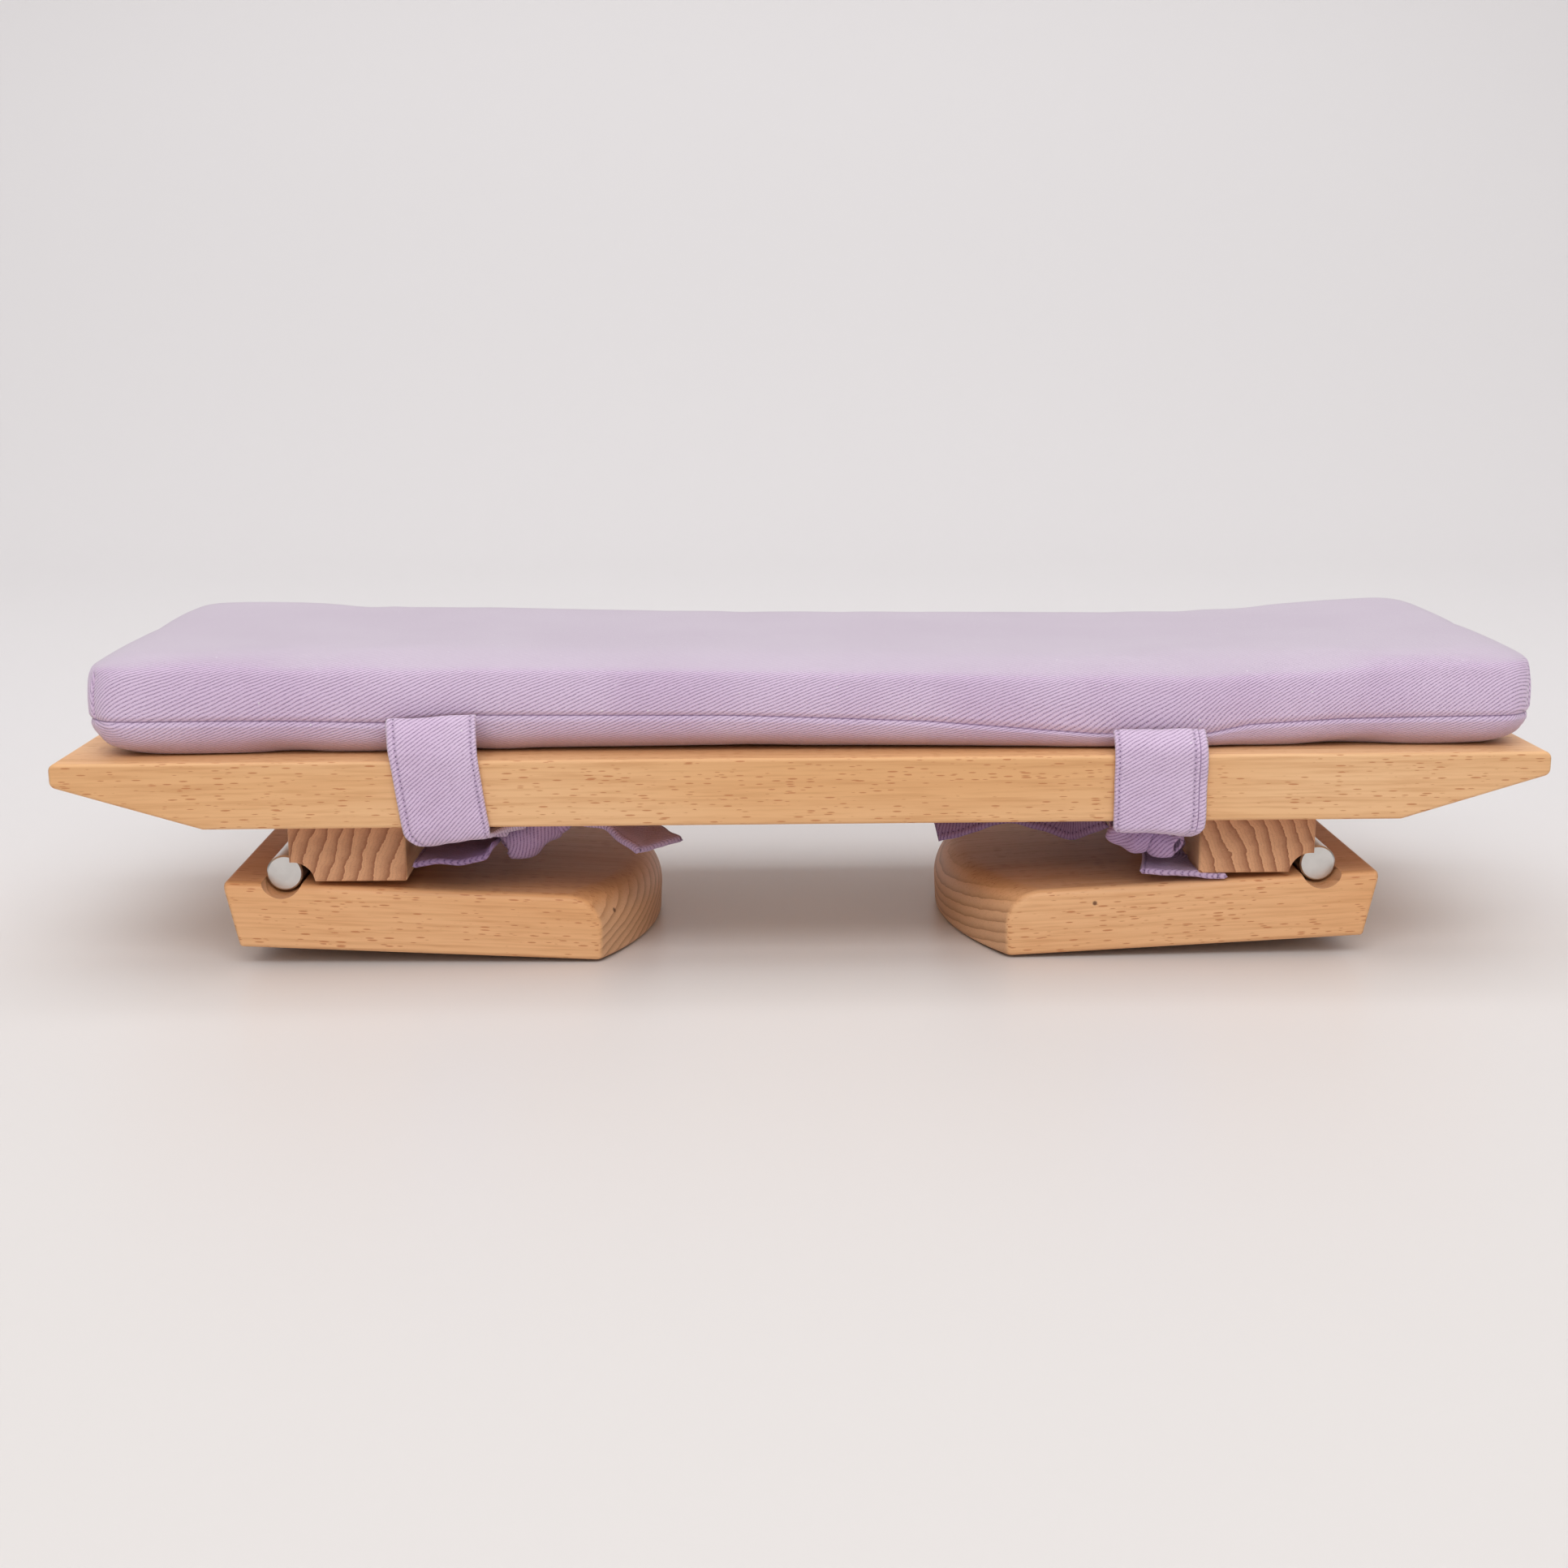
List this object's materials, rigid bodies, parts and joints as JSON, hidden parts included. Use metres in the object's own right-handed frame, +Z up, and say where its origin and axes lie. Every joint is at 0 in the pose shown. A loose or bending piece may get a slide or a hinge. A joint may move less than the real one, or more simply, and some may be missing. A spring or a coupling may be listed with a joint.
{
  "type": "folding kneeling bench with tied cushion",
  "caption": "Folding wooden kneeling bench, its legs folded in under a chamfered seat board on steel rod hinges, with a cotton twill cushion held on by knotted ties.",
  "frame": {"origin": "on the floor, in the middle of the bench's footprint, with the bench folded", "axes": "+X along the seat board, +Y from the front to the back, +Z up"},
  "size_m": [0.485, 0.1594, 0.1035],
  "materials": {
    "beech": "oiled, satin",
    "beech_end_grain": "oiled, satin",
    "dowel_beech": "raw",
    "stainless_rod": "brushed",
    "magnet_nickel": "nickel plated",
    "keeper_steel": "brushed",
    "foam": "open-cell foam",
    "cotton_twill": "woven twill, matt"
  },
  "bodies": {
    "seat": {"cleat_dowels_left": "dowel_beech", "cleat_dowels_right": "dowel_beech", "cleat_left": "beech_end_grain", "cleat_right": "beech_end_grain", "cleat_rod_magnets_left": "magnet_nickel", "cleat_rod_magnets_right": "magnet_nickel", "cushion_cover_bottom": "cotton_twill", "cushion_cover_top": "cotton_twill", "cushion_foam": "foam", "fold_magnets_left": "magnet_nickel", "fold_magnets_right": "magnet_nickel", "hinge_rod_left": "stainless_rod", "hinge_rod_right": "stainless_rod", "seat_board": "beech", "tie_back_left": "cotton_twill", "tie_back_right": "cotton_twill", "tie_front_left": "cotton_twill", "tie_front_right": "cotton_twill", "tie_knot_left": "cotton_twill", "tie_knot_right": "cotton_twill", "tie_tails_left": "cotton_twill", "tie_tails_right": "cotton_twill"},
    "leg_left": {"keeper_plate_left": "keeper_steel", "leg_left": "beech", "leg_rod_magnets_left": "magnet_nickel"},
    "leg_right": {"keeper_plate_right": "keeper_steel", "leg_right": "beech", "leg_rod_magnets_right": "magnet_nickel"}
  },
  "joints": [
    {"name": "fold_left", "type": "hinge", "parent": "seat", "child": "leg_left", "pos_m": [-0.1731, 0, 0.03027], "axis": [0, 1, 0], "range_deg": [0, 102.15]},
    {"name": "fold_right", "type": "hinge", "parent": "seat", "child": "leg_right", "pos_m": [0.1731, 0, 0.03027], "axis": [0, -1, 0], "range_deg": [0, 102.15]}
  ]
}
